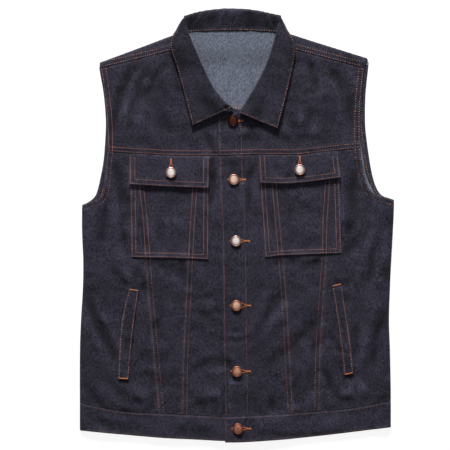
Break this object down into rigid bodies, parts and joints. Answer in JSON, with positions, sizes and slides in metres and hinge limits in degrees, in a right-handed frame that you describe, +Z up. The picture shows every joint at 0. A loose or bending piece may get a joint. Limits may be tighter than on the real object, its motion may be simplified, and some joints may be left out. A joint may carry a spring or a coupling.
{
  "type": "denim vest, laid flat",
  "caption": "Sleeveless denim jacket laid flat and buttoned, with a turned-down collar, buttoned flap chest pockets, slanted welt pockets and a waistband.",
  "frame": {"origin": "on the surface it lies on, under the middle of its outline", "axes": "+Z up off the surface, +Y towards the collar, +X towards the wearer's left side"},
  "size_m": [0.5183, 0.7125, 0.0144],
  "materials": {
    "denim": "raw indigo denim twill, dark with pale flecks outside, grey-blue inside",
    "thread": "copper-brown polyester topstitching thread",
    "button_metal": "antique copper tack buttons, satin"
  },
  "bodies": {
    "root": {"back_panel": "denim", "back_yoke": "denim", "front_yoke_left": "denim", "front_yoke_right": "denim", "front_centre_left": "denim", "front_centre_right": "denim", "front_middle_left": "denim", "front_middle_right": "denim", "front_side_left": "denim", "front_side_right": "denim", "pocket_left": "denim", "pocket_right": "denim", "flap_left": "denim", "flap_right": "denim", "welt_left": "denim", "welt_right": "denim", "waistband": "denim", "collar_back": "denim", "collar_leaf_left": "denim", "collar_leaf_right": "denim", "button_front_1": "button_metal", "button_front_2": "button_metal", "button_front_3": "button_metal", "button_front_4": "button_metal", "button_front_5": "button_metal", "button_front_6": "button_metal", "button_flap_left": "button_metal", "button_flap_right": "button_metal"}
  },
  "joints": []
}
